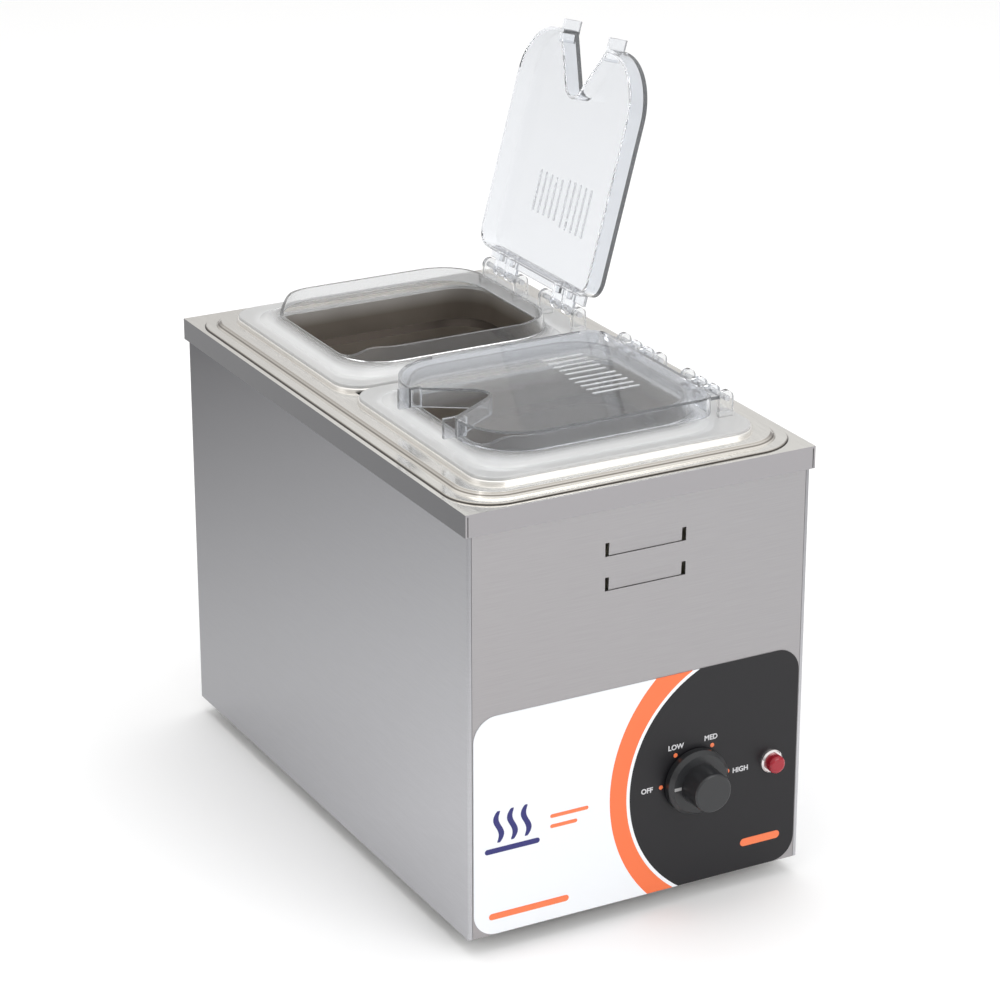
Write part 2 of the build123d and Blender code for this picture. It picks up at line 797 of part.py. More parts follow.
def make_insulation():
    """A blanket wrapped round the well, standing on the heat shield."""
    half_x = well_width / 2 + well_step_back + well_sheet + insulation_clearance
    half_y = well_depth / 2 + well_step_back + well_sheet + insulation_clearance
    corner = well_corner + well_step_back
    height = deck_underside - insulation_top_gap - shield_top_z
    outside = extrude(
        section(shield_top_z, half_x + insulation_thickness, half_y + insulation_thickness, corner), height)
    return outside - extrude(section(shield_top_z, half_x, half_y, corner), height)


def make_high_limit():
    """A disc cut-out held under the well floor, with two terminal tabs."""
    low = well_underside - limit_height
    limit = rod(limit_radius, (0, limit_y, low), (0, limit_y, well_underside))
    for x in (-4, 4):
        limit += block((x - 0.4, limit_y - 3, low - 5), (x + 0.4, limit_y + 3, low))
    return limit


def make_terminal_block():
    length, width, height = block_size
    body = Pos(0, block_y, base_sheet + height / 2) * Box(length, width, height)
    for index in range(-2, 3):
        slot = Pos(index * 10 + 5, block_y, base_sheet + height) * Box(1.2, width + 2, 6)
        body -= slot
    return body


def make_ground_screw():
    low = base_sheet
    head = Pos(ground_x, ground_y, low) * hexagon(4.5, 3.0)
    return head + rod(foot_stem_radius, (ground_x, ground_y, -1.0), (ground_x, ground_y, low + 1))


def make_wires():
    """Lead wires between the element, the switch, the lamp, the terminal block and the ground screw."""
    pin_z = element_z - element_end_drop - cold_pin_length
    pin_y = -element_half_y
    block_top = base_sheet + block_size[2]
    tab_y = front_y + panel_sheet + switch_depth + wire_tail
    lamp_y = front_y + panel_sheet + lamp_body_length + wire_tail
    (tab_a_x, tab_a_z), (tab_b_x, tab_b_z) = switch_tabs()
    run_z = block_top + wire_lift
    left = wire_tail - block_size[0] / 2
    right = block_size[0] / 2 - wire_tail
    routes = [
        [(element_end_x, pin_y, pin_z), (element_end_x, pin_y, pin_z - wire_drop),
         (tab_a_x, pin_y, tab_a_z), (tab_a_x, tab_y, tab_a_z)],
        [(-element_end_x, pin_y, pin_z), (-element_end_x, pin_y, run_z + wire_drop),
         (left, 0, run_z + wire_slack), (left, block_y, run_z), (left, block_y, block_top)],
        [(tab_b_x, tab_y, tab_b_z), (tab_b_x, tab_y + 2 * wire_step, tab_b_z),
         (right + wire_step, 0, run_z + wire_step), (right, block_y, run_z), (right, block_y, block_top)],
        [(lamp_x, lamp_y, control_z), (lamp_x, lamp_y + 2 * wire_step, control_z),
         (lamp_x - 2 * wire_step, lamp_wire_y, run_z + wire_step), (0, block_y - wire_slack, run_z),
         (0, block_y - wire_slack, block_top)],
        [(left + 2 * wire_tail, block_y + wire_tail, block_top),
         (left + 2 * wire_tail, block_y + wire_tail, run_z),
         (left - 2 * wire_step, block_y + 2 * wire_slack, run_z - wire_slack), (ground_x, ground_y, block_top),
         (ground_x, ground_y, base_sheet + 3)],
    ]
    wires = []
    for points in routes:
        bend = wire_bend_short if len(points) == 4 else wire_bend
        wires.append(tube(points, [bend] * (len(points) - 2), wire_radius))
    return wires


def make_cord_gland():
    """A cable gland for the supply cord, screwed through the rear panel."""
    hexed = hexagon(gland_hex_radius, gland_hex_height)
    dome = Pos(0, 0, gland_hex_height) * extrude(Circle(gland_radius), gland_dome_height, taper=12)
    tail = extrude(Circle(gland_radius), -gland_tail)
    body = hexed + dome + tail - Cylinder(gland_bore, 60)
    return on_rear(gland_x, gland_z) * body


def make_gland_nut():
    nut = hexagon(gland_hex_radius, 4.0) - Cylinder(gland_radius + 0.05, 20)
    return on_rear(gland_x, gland_z, rear_y - panel_sheet - 4.0) * nut


def make_rear_screw(x, z):
    head = extrude(Circle(screw_head_radius), screw_head_height)
    head = fillet(head.edges().group_by(Axis.Z)[-1], 1.0)
    slot = Pos(0, 0, screw_head_height) * Box(2 * screw_head_radius, 0.8, 1.6)
    return on_rear(x, z) * (head - slot + extrude(Circle(screw_radius), -screw_length))


def save(name, *solids):
    """Writes one node, as a single solid or as a group of separate solids."""
    shape = solids[0] if len(solids) == 1 else Compound(children=list(solids))
    export_step(shape, os.path.join("parts", name + ".step"))


os.makedirs("parts", exist_ok=True)
save("deck", make_deck())
save("well_liner", make_well_liner())
save("side_panel_left", make_side_panel(-1))
save("side_panel_right", make_side_panel(1))
save("front_panel", make_front_panel())
save("rear_panel", make_rear_panel())
save("base_plate", make_base_plate())
save("feet", *[make_foot(x, y) for x, y in foot_places()])
save("foot_washers", *[make_foot_washer(x, y) for x, y in foot_places()])
save("foot_nuts", *[make_foot_nut(x, y) for x, y in foot_places()])
save("control_label", make_label())
save("knob", make_knob())
save("knob_pointer", make_knob_pointer())
save("switch_shaft", make_switch_shaft())
save("control_switch", make_control_switch())
save("bushing_nut", make_bushing_nut())
save("lamp_bezel", make_lamp_bezel())
save("lamp_lens", make_lamp_lens())
save("lamp_body", make_lamp_body())
save("lamp_nut", make_lamp_nut())
save("heating_element", make_heating_element())
save("element_clamps", *[make_clamp_bar(y) for y in (-clamp_y, clamp_y)])
save("clamp_studs", *[make_clamp_stud(y) for y in (-clamp_y, clamp_y)])
save("clamp_nuts", *[make_clamp_nut(y) for y in (-clamp_y, clamp_y)])
save("heat_shield", make_heat_shield())
save("insulation", make_insulation())
save("high_limit_cutout", make_high_limit())
save("terminal_block", make_terminal_block())
save("ground_screw", make_ground_screw())
save("wires", *make_wires())
save("cord_gland", make_cord_gland())
save("gland_nut", make_gland_nut())
save("rear_screws", *[make_rear_screw(x, z) for x in (-screw_x(), screw_x()) for z in screw_heights])
for place, centre in pan_centres.items():
    save("pan_" + place, make_pan(centre))
    save("lid_base_" + place, make_lid_base(centre))
    save("hinge_pins_" + place, *make_hinge_pins(centre))
save("lid_flap_front", make_flap(pan_centres["front"], 0.0))
save("lid_flap_rear", make_flap(pan_centres["rear"], flap_open_angle))
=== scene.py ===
"""Countertop food pan warmer: the dressed model in the shared frame, in metres.

The cabinet's front faces -Y and its base plate's underside is at z = 0.
"""
import math

import bpy
from mathutils import Matrix, Vector


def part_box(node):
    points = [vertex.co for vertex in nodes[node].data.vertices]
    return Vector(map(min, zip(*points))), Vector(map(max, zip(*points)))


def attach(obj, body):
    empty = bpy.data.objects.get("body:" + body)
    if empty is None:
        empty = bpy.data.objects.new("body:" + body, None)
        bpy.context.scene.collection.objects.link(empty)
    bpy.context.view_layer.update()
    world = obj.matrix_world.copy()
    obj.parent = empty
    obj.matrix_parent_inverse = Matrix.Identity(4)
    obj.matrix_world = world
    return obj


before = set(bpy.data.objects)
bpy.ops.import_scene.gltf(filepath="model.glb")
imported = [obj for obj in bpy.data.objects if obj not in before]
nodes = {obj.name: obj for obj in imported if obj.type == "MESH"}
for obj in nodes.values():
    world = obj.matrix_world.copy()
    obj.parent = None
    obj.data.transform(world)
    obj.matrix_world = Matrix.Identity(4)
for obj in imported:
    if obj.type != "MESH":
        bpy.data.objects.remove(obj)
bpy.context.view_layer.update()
scene = bpy.context.scene

# The camera stands in front and to the left of the cabinet, looking down on it from a long way off.
camera_place = Vector((-0.8668, -1.6248, 0.9042))
camera_yaw = math.radians(28.379)
camera_dip = math.radians(21.574)
camera_data = bpy.data.cameras.new("camera")
camera_data.sensor_width = 36.0
camera_data.lens = 121.9
camera = bpy.data.objects.new("camera", camera_data)
scene.collection.objects.link(camera)
camera.location = camera_place
camera.rotation_euler = (math.pi / 2 - camera_dip, 0, -camera_yaw)
scene.camera = camera


# The studio: a pale floor under the feet, a white surround and three broad soft lamps.
# Mirror-like metal sees a surround with a darker band near the horizon.
def plain_material(name):
    """A new material, its node tree and its surface shader."""
    material = bpy.data.materials.new(name)
    material.use_nodes = True
    return material, material.node_tree, material.node_tree.nodes["Principled BSDF"]


def add_node(tree, kind, **settings):
    """A node in the tree, with its settings."""
    node = tree.nodes.new(kind)
    for key, value in settings.items():
        setattr(node, key, value)
    return node


def wire(tree, output, socket):
    """A link from one node to the next."""
    tree.links.new(output, socket)


# A colour mix has several sockets of each name, so they go by number.
mix_share = 0
mix_colors = (6, 7)
mix_result = 2


def blend(tree, share, first, second):
    """A colour that goes from first to second as the share goes from 0 to 1."""
    mix = add_node(tree, "ShaderNodeMix", data_type="RGBA")
    wire(tree, share, mix.inputs[mix_share])
    for socket, color in zip(mix_colors, (first, second)):
        if isinstance(color, bpy.types.NodeSocket):
            wire(tree, color, mix.inputs[socket])
        else:
            mix.inputs[socket].default_value = (*color, 1)
    return mix.outputs[mix_result]


def parts_of(tree, vector):
    """The X, Y and Z outputs of a vector."""
    node = add_node(tree, "ShaderNodeSeparateXYZ")
    wire(tree, vector, node.inputs[0])
    return node.outputs


floor_half = 6.0
floor_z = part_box("feet")[0][2]
floor_corners = [(side_x * floor_half, side_y * floor_half, floor_z)
                 for side_x, side_y in ((-1, -1), (1, -1), (1, 1), (-1, 1))]
floor_mesh = bpy.data.meshes.new("floor")
floor_mesh.from_pydata(floor_corners, [], [(0, 1, 2, 3)])
floor = bpy.data.objects.new("floor", floor_mesh)
scene.collection.objects.link(floor)
floor_material, floor_tree, floor_shader = plain_material("studio_floor")
floor_shader.inputs["Base Color"].default_value = (0.955, 0.955, 0.96, 1)
floor_shader.inputs["Roughness"].default_value = 0.9
floor_mesh.materials.append(floor_material)

world = bpy.data.worlds.new("studio")
scene.world = world
world.use_nodes = True
world_tree = world.node_tree
background = world_tree.nodes["Background"]
sight_line = add_node(world_tree, "ShaderNodeTexCoord").outputs["Generated"]
half_shift = add_node(world_tree, "ShaderNodeMath", operation="MULTIPLY_ADD")
half_shift.inputs[1].default_value = 0.5
half_shift.inputs[2].default_value = 0.5
wire(world_tree, parts_of(world_tree, sight_line)["Z"], half_shift.inputs[0])
surround = add_node(world_tree, "ShaderNodeValToRGB")
surround.color_ramp.elements[0].position = 0.47
surround.color_ramp.elements[0].color = (0.62, 0.62, 0.63, 1)
surround.color_ramp.elements[1].position = 0.80
surround.color_ramp.elements[1].color = (1.0, 1.0, 0.99, 1)
surround.color_ramp.elements.new(0.56).color = (0.30, 0.29, 0.29, 1)
wire(world_tree, half_shift.outputs[0], surround.inputs["Fac"])
seen_by_camera = add_node(world_tree, "ShaderNodeLightPath").outputs["Is Camera Ray"]
shown = blend(world_tree, seen_by_camera, surround.outputs["Color"], (1, 1, 1))
wire(world_tree, shown, background.inputs["Color"])
background.inputs["Strength"].default_value = 1.0


def soft_lamp(name, place, aim, size, power):
    """A square area lamp that points at a spot on the object."""
    data = bpy.data.lights.new(name, "AREA")
    data.size = size
    data.energy = power
    lamp = bpy.data.objects.new(name, data)
    scene.collection.objects.link(lamp)
    lamp.location = place
    lamp.rotation_euler = (Vector(aim) - Vector(place)).to_track_quat("-Z", "Y").to_euler()


soft_lamp("overhead", place=(0.1, 0.3, 2.2), aim=(0, 0, 0.1), size=1.8, power=16)
soft_lamp("front_fill", place=(0.9, -2.4, 1.2), aim=(0, 0, 0.12), size=1.4, power=22)
soft_lamp("left_fill", place=(-2.4, 0.2, 0.9), aim=(0, 0, 0.12), size=1.2, power=5)
scene.view_settings.view_transform = "Standard"


# The cabinet's panels are brushed stainless sheet: two sides that wrap round the corners, a front
# and a rear. Fine lines run along the brushing. The shade that drifts over each panel is painted
# shade: on the sides it runs from dark at the far top to light near the bottom, and the front and
# rear carry only a slight painted drift.
def remap(tree, value, from_low, from_high, to_low=0.0, to_high=1.0):
    """A value moved from one range to another and kept inside it."""
    node = add_node(tree, "ShaderNodeMapRange")
    node.inputs["From Min"].default_value = from_low
    node.inputs["From Max"].default_value = from_high
    node.inputs["To Min"].default_value = to_low
    node.inputs["To Max"].default_value = to_high
    wire(tree, value, node.inputs["Value"])
    return node.outputs[0]


def noise(tree, place, scale, detail=2.0):
    """A soft random pattern over a place, from 0 to 1."""
    node = add_node(tree, "ShaderNodeTexNoise")
    node.inputs["Scale"].default_value = scale
    node.inputs["Detail"].default_value = detail
    wire(tree, place, node.inputs["Vector"])
    return node.outputs["Fac"]


def give_bump(tree, shader, height, strength, depth):
    """Small hollows and ridges in the shader's surface."""
    bump = add_node(tree, "ShaderNodeBump")
    bump.inputs["Strength"].default_value = strength
    bump.inputs["Distance"].default_value = depth
    wire(tree, height, bump.inputs["Height"])
    wire(tree, bump.outputs[0], shader.inputs["Normal"])


steel_metallic = 0.85
steel_bump_strength = 0.05
steel_bump_depth = 0.0002
line_reach = (0.3, 0.7)
line_shades = (0.955, 1.03)
line_gloss_spread = (-0.05, 0.07)


def brushed_steel(name, dark, light, stretch, roughness, drift_from, drift_to):
    """Brushed metal whose colour drifts from dark to light between two points; on the panels, deck, well,
    pans and lamp ring this drift is painted shade and light.
    """
    material, tree, shader = plain_material(name)
    place = add_node(tree, "ShaderNodeTexCoord").outputs["Object"]
    along = Vector(drift_to) - Vector(drift_from)
    offset = add_node(tree, "ShaderNodeVectorMath", operation="SUBTRACT")
    offset.inputs[1].default_value = drift_from
    wire(tree, place, offset.inputs[0])
    drift = add_node(tree, "ShaderNodeVectorMath", operation="DOT_PRODUCT")
    drift.inputs[1].default_value = along / along.length_squared
    wire(tree, offset.outputs[0], drift.inputs[0])
    shade = blend(tree, drift.outputs["Value"], dark, light)
    stretched = add_node(tree, "ShaderNodeMapping")
    stretched.inputs["Scale"].default_value = stretch
    wire(tree, place, stretched.inputs["Vector"])
    lines = noise(tree, stretched.outputs[0], 1.0, 3.0)
    tinted = add_node(tree, "ShaderNodeVectorMath", operation="SCALE")
    wire(tree, shade, tinted.inputs[0])
    wire(tree, remap(tree, lines, *line_reach, *line_shades), tinted.inputs["Scale"])
    wire(tree, tinted.outputs[0], shader.inputs["Base Color"])
    rough = remap(tree, lines, 0.0, 1.0, *[roughness + spread for spread in line_gloss_spread])
    wire(tree, rough, shader.inputs["Roughness"])
    give_bump(tree, shader, lines, steel_bump_strength, steel_bump_depth)
    shader.inputs["Metallic"].default_value = steel_metallic
    return material


def finish(node, material):
    """Gives a carried-over solid its material."""
    mesh = nodes[node].data
    mesh.materials.clear()
    mesh.materials.append(material)


side_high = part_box("side_panel_left")[1]
# The side panels' colour is painted shade, dark at the far top and light near the bottom.
side_steel = brushed_steel("side_steel", dark=(0.055, 0.055, 0.060), light=(0.50, 0.50, 0.52),
                           stretch=(60, 60, 1800), roughness=0.36,
                           drift_from=(0, side_high[1], side_high[2]), drift_to=(0, 0.040, -0.030))
finish("side_panel_left", side_steel)
finish("side_panel_right", side_steel)
front_low, front_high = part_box("front_panel")
# The front and rear panels' colour drifts slightly from lower left to upper right, a painted shade.
front_steel = brushed_steel("front_steel", dark=(0.380, 0.365, 0.372), light=(0.350, 0.342, 0.350),
                            stretch=(40, 1800, 1800), roughness=0.34,
                            drift_from=(front_low[0], 0, front_low[2]),
                            drift_to=(front_high[0], 0, front_high[2]))
finish("front_panel", front_steel)
finish("rear_panel", front_steel)

# The deck is one pressed stainless sheet with a turned-down lip and a raised bead round the well.
# It is polished smoother than the panels. Its bright colour, a little darker towards the back, is painted
# light, and its slopes carry painted streaks of reflected light and shade.
deck_low, deck_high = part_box("deck")
deck_press = 0.0042
upright_to_slope = (0.05, 0.30)
slope_to_level = (0.80, 0.98)
# The lip's colours are painted shade: lighter on the front face, darker on the side faces.
lip_front_painted_light = (0.335, 0.325, 0.335)
lip_side_painted_shade = (0.10, 0.10, 0.105)
# Painted reflections: dark and light streaks up the height of the slopes.
slope_painted_streaks = ((0.0, (0.045, 0.038, 0.032)), (0.16, (0.045, 0.038, 0.032)), (0.27, (0.62, 0.59, 0.55)),
                 (0.50, (0.78, 0.75, 0.70)), (0.62, (0.16, 0.14, 0.12)), (0.74, (0.66, 0.63, 0.59)),
                 (0.90, (0.50, 0.47, 0.43)), (1.0, (0.80, 0.78, 0.74)))
deck_steel = brushed_steel("deck_steel", dark=(0.90, 0.885, 0.85), light=(0.84, 0.82, 0.785),
                           stretch=(1100, 50, 50), roughness=0.15,
                           drift_from=(0, deck_low[1], 0), drift_to=(0, deck_high[1], 0))


def shade_by_slope(material):
    """Paints light and dark streaks, as painted reflections, on the pressed slopes by their height, and
    paints the lip with the painted shade of the panel below it: lighter on the front, darker at the sides.
    """
    tree = material.node_tree
    base_color = tree.nodes["Principled BSDF"].inputs["Base Color"]
    level_color = base_color.links[0].from_socket
    facing = parts_of(tree, add_node(tree, "ShaderNodeNewGeometry").outputs["True Normal"])
    side_on = add_node(tree, "ShaderNodeMath", operation="ABSOLUTE")
    wire(tree, facing["X"], side_on.inputs[0])
    lip = blend(tree, side_on.outputs[0], lip_front_painted_light, lip_side_painted_shade)
    place = parts_of(tree, add_node(tree, "ShaderNodeTexCoord").outputs["Object"])
    streaks = add_node(tree, "ShaderNodeValToRGB")
    ends = streaks.color_ramp.elements
    ends[0].color = (*slope_painted_streaks[0][1], 1)
    ends[1].color = (*slope_painted_streaks[-1][1], 1)
    for stop, color in slope_painted_streaks[1:-1]:
        ends.new(stop).color = (*color, 1)
    rise = remap(tree, place["Z"], deck_high[2] - deck_press, deck_high[2])
    wire(tree, rise, streaks.inputs["Fac"])
    slope_share = remap(tree, facing["Z"], *upright_to_slope)
    sloped = blend(tree, slope_share, lip, streaks.outputs["Color"])
    level_share = remap(tree, facing["Z"], *slope_to_level)
    wire(tree, blend(tree, level_share, sloped, level_color), base_color)


shade_by_slope(deck_steel)
finish("deck", deck_steel)

# The well is a deep drawn steel box that hangs from the deck and holds hot water.
# It only shows where the pans' corners leave a gap, and in full once they are lifted out.
# The well's colour is painted shade, darker towards its bottom.
well_steel = brushed_steel("well_steel", dark=(0.30, 0.29, 0.28), light=(0.42, 0.41, 0.40),
                           stretch=(60, 60, 1400), roughness=0.30,
                           drift_from=(0, 0, 0.13), drift_to=(0, 0, 0.25))
finish("well_liner", well_steel)

# The base plate, the heat shield, the heater's clamps and the fastenings are plated steel.
# The heating element is a bent tube with a heat-browned sheath, clamped under the well.
plated_steel = brushed_steel("plated_steel", dark=(0.50, 0.50, 0.48), light=(0.58, 0.58, 0.56),
                             stretch=(300, 300, 300), roughness=0.42,
                             drift_from=(0, 0, 0), drift_to=(0, 0, 0.25))
for name in ("base_plate", "foot_washers", "foot_nuts", "rear_screws", "bushing_nut", "clamp_studs",
             "clamp_nuts", "element_clamps", "heat_shield", "ground_screw"):
    finish(name, plated_steel)
sheath_steel = brushed_steel("sheath_steel", dark=(0.20, 0.17, 0.15), light=(0.30, 0.28, 0.27),
                             stretch=(200, 200, 200), roughness=0.5,
                             drift_from=(0, -0.12, 0), drift_to=(0, 0.12, 0))
finish("heating_element", sheath_steel)

# The pans are drawn satin steel, with a painted highlight on the rim and a painted brown shade below it.
# Their shoulders and floors carry the darkest painted shade, because they see only the pan's own walls.
pan_floor_painted_shade = (0.075, 0.062, 0.052)
pan_painted_rim_depths = (0.002, 0.012)
pan_shade_depths = (0.008, 0.014)
pan_wall_to_floor = (0.05, 0.5)


def darken_pan_floor(material, rim_z):
    """Paints shade on what faces upward below the rim."""
    tree = material.node_tree
    base_color = tree.nodes["Principled BSDF"].inputs["Base Color"]
    wall_color = base_color.links[0].from_socket
    facing = parts_of(tree, add_node(tree, "ShaderNodeNewGeometry").outputs["True Normal"])
    place = parts_of(tree, add_node(tree, "ShaderNodeTexCoord").outputs["Object"])
    both = add_node(tree, "ShaderNodeMath", operation="MULTIPLY")
    starts, full = pan_shade_depths
    wire(tree, remap(tree, place["Z"], rim_z - starts, rim_z - full), both.inputs[0])
    wire(tree, remap(tree, facing["Z"], *pan_wall_to_floor), both.inputs[1])
    wire(tree, blend(tree, both.outputs[0], wall_color, pan_floor_painted_shade), base_color)


for place_name in ("front", "rear"):
    pan_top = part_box("pan_" + place_name)[1][2]
    # The wall goes from a painted brown shade below to a painted highlight at the rim.
    pan_steel_painted_shade = brushed_steel("pan_steel_painted_shade_" + place_name, dark=(0.34, 0.30, 0.26), light=(0.84, 0.82, 0.79),
                              stretch=(40, 40, 40), roughness=0.40,
                              drift_from=(0, 0, pan_top - pan_painted_rim_depths[1]),
                              drift_to=(0, 0, pan_top - pan_painted_rim_depths[0]))
    darken_pan_floor(pan_steel_painted_shade, pan_top)
    finish("pan_" + place_name, pan_steel_painted_shade)


# Moulded and woven small parts: rubber feet with moulded stems, black nylon fittings, the switch,
# the terminal block and the heat cut-out, a fibre blanket round the well, and the lead wires.
moulded_shades = (0.88, 1.10)
moulded_gloss_spread = 0.15
moulded_bump_strength = 0.25


def moulded(name, color, roughness, grain_size, depth):
    """A moulded or woven surface with a fine grain in colour, gloss and height."""
    material, tree, shader = plain_material(name)
    place = add_node(tree, "ShaderNodeTexCoord").outputs["Object"]
    grain = noise(tree, place, 1 / grain_size, 4.0)
    darker, lighter = [[min(1.0, share * shade) for share in color] for shade in moulded_shades]
    wire(tree, blend(tree, grain, darker, lighter), shader.inputs["Base Color"])
    smoothest = roughness * (1 - moulded_gloss_spread)
    roughest = roughness * (1 + moulded_gloss_spread)
    rough = remap(tree, grain, 0.0, 1.0, smoothest, roughest)
    wire(tree, rough, shader.inputs["Roughness"])
    give_bump(tree, shader, grain, moulded_bump_strength, depth)
    return material


foot_rubber = moulded("foot_rubber", color=(0.03, 0.03, 0.03), roughness=0.75,
                      grain_size=0.0012, depth=0.0002)
finish("feet", foot_rubber)
black_nylon = moulded("black_nylon", color=(0.02, 0.02, 0.022), roughness=0.5,
                      grain_size=0.0010, depth=0.0001)
for name in ("cord_gland", "gland_nut", "lamp_body", "lamp_nut"):
    finish(name, black_nylon)
pale_moulding = moulded("pale_moulding", color=(0.72, 0.68, 0.56), roughness=0.5,
                        grain_size=0.0015, depth=0.0001)
for name in ("control_switch", "terminal_block", "high_limit_cutout"):
    finish(name, pale_moulding)
fibre_blanket = moulded("fibre_blanket", color=(0.80, 0.76, 0.62), roughness=0.95,
                        grain_size=0.006, depth=0.002)
finish("insulation", fibre_blanket)
wire_cover = moulded("wire_cover", color=(0.62, 0.60, 0.56), roughness=0.4, grain_size=0.002, depth=0.0001)
finish("wires", wire_cover)
shaft_brass = moulded("shaft_brass", color=(0.55, 0.42, 0.20), roughness=0.35,
                      grain_size=0.002, depth=0.00005)
finish("switch_shaft", shaft_brass)

# The control knob is moulded in glossy black, a bevelled skirt with a taller round grip.
# A pale pointer line lies on its skirt, and it sits on the switch's shaft.
knob_black = moulded("knob_black", color=(0.022, 0.023, 0.025), roughness=0.30,
                     grain_size=0.0008, depth=0.00004)
finish("knob", knob_black)
pointer_pale = moulded("pointer_pale", color=(0.36, 0.36, 0.36), roughness=0.45,
                       grain_size=0.0008, depth=0.00004)
finish("knob_pointer", pointer_pale)

# The pilot lamp is a dark red moulded lens in a chromed ring.
# It is pushed through the front panel and held by a nut from behind.
# The ring's colour is painted lighter towards its top, a painted highlight.
lamp_chrome = brushed_steel("lamp_chrome", dark=(0.72, 0.66, 0.66), light=(0.88, 0.84, 0.84),
                            stretch=(300, 300, 300), roughness=0.12,
                            drift_from=(0, 0, 0.058), drift_to=(0, 0, 0.072))
finish("lamp_bezel", lamp_chrome)
lens_red = moulded("lens_red", color=(0.34, 0.012, 0.025), roughness=0.22, grain_size=0.0016, depth=0.0001)
finish("lamp_lens", lens_red)


# The control label: a printed film over the lower front. A white field at the left, then an orange
# band and a thin white line on circles round the dial, and a charcoal field at the right.
def circle_side(tree, place, centre_x, centre_z, radius):
    """1 inside a circle on the front face and everywhere right of its centre, 0 elsewhere."""
    flat = add_node(tree, "ShaderNodeVectorMath", operation="MULTIPLY")
    flat.inputs[1].default_value = (1, 0, 1)
    wire(tree, place, flat.inputs[0])
    reach = add_node(tree, "ShaderNodeVectorMath", operation="DISTANCE")
    reach.inputs[1].default_value = (centre_x, 0, centre_z)
    wire(tree, flat.outputs[0], reach.inputs[0])
    inside = add_node(tree, "ShaderNodeMath", operation="LESS_THAN")
    inside.inputs[1].default_value = radius
    wire(tree, reach.outputs["Value"], inside.inputs[0])
    beyond = add_node(tree, "ShaderNodeMath", operation="GREATER_THAN")
    beyond.inputs[1].default_value = centre_x
    wire(tree, parts_of(tree, place)["X"], beyond.inputs[0])
    either = add_node(tree, "ShaderNodeMath", operation="MAXIMUM")
    wire(tree, inside.outputs[0], either.inputs[0])
    wire(tree, beyond.outputs[0], either.inputs[1])
    return either.outputs[0]


label_white = (0.86, 0.885, 0.915)
label_orange = (0.90, 0.185, 0.065)
label_charcoal = (0.010, 0.0095, 0.0115)
label_film, label_tree, label_shader = plain_material("label_film")
label_place = add_node(label_tree, "ShaderNodeTexCoord").outputs["Object"]
paint = label_white
for color, x, z, radius in (
    (label_orange, 0.0757, 0.0645, 0.0942),
    (label_white, 0.0705, 0.0630, 0.0783),
    (label_charcoal, 0.0705, 0.0630, 0.0763),
):
    paint = blend(label_tree, circle_side(label_tree, label_place, x, z, radius), paint, color)
wire(label_tree, paint, label_shader.inputs["Base Color"])
film_grain_scale = 1500
film_gloss = (0.30, 0.42)
film_grain = noise(label_tree, label_place, film_grain_scale)
wire(label_tree, remap(label_tree, film_grain, 0.0, 1.0, *film_gloss), label_shader.inputs["Roughness"])
label_shader.inputs["Specular IOR Level"].default_value = 0.35
finish("control_label", label_film)

# The dial's words and dots are printed on the label in grey and orange ink, round the knob.
# Ink stands a hair proud of the film, and each mark is a thin piece of its own.
label_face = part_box("control_label")[0][1]
ink_lift = 0.00012
pill_end_steps = 10
dial_x = 0.036
dial_z = 0.065
dot_radius = 0.0013
dot_orbit = 0.0217
word_height = 0.0030
size_per_capital = 1.42
letter_swell = 0.00012
ink_orange = moulded("ink_orange", color=(0.90, 0.20, 0.07), roughness=0.4, grain_size=0.0006, depth=0.00001)
ink_grey = moulded("ink_grey", color=(0.62, 0.62, 0.64), roughness=0.4, grain_size=0.0006, depth=0.00001)
ink_navy = moulded("ink_navy", color=(0.02, 0.02, 0.16), roughness=0.4, grain_size=0.0006, depth=0.00001)


def printed(name, mesh, material):
    """A printed mark on the label, as its own thin piece."""
    piece = bpy.data.objects.new(name, mesh)
    scene.collection.objects.link(piece)
    mesh.materials.append(material)
    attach(piece, "cabinet")


def round_ended(x, y, length, width, steps):
    """The outline of a bar with round ends, anticlockwise from its right end's lowest point."""
    reach = (length - width) / 2
    radius = width / 2
    return [(x + end * reach + radius * math.cos(angle), y + radius * math.sin(angle))
            for end, start in ((1, -math.pi / 2), (-1, math.pi / 2))
            for angle in (start + math.pi * k / steps for k in range(steps + 1))]


def pill(name, x, z, half_length, half_height, material):
    """A bar with round ends lying on the label."""
    outline = round_ended(x, z, 2 * half_length, 2 * half_height, pill_end_steps)
    count = len(outline)
    verts = [(px, face_y, pz) for face_y in (label_face, label_face - ink_lift) for px, pz in outline]
    faces = [list(range(count)), list(range(2 * count - 1, count - 1, -1))]
    faces += [(k, k + count, (k + 1) % count + count, (k + 1) % count) for k in range(count)]
    mesh = bpy.data.meshes.new(name)
    mesh.from_pydata(verts, [], faces)
    printed(name, mesh, material)


def word(name, text, x, z):
    """A short word centred on a point of the label."""
    curve = bpy.data.curves.new(name, "FONT")
    curve.body = text
    curve.size = word_height * size_per_capital
    curve.align_x = "CENTER"
    curve.align_y = "CENTER"
    curve.extrude = ink_lift / 2
    curve.offset = letter_swell
    writing = bpy.data.objects.new(name + "_curve", curve)
    scene.collection.objects.link(writing)
    writing.rotation_euler = (math.pi / 2, 0, 0)
    writing.location = (x, label_face - ink_lift / 2, z)
    bpy.context.view_layer.update()
    solid_writing = writing.evaluated_get(bpy.context.evaluated_depsgraph_get())
    mesh = bpy.data.meshes.new_from_object(solid_writing)
    mesh.transform(writing.matrix_world)
    bpy.data.objects.remove(writing)
    printed(name, mesh, ink_grey)


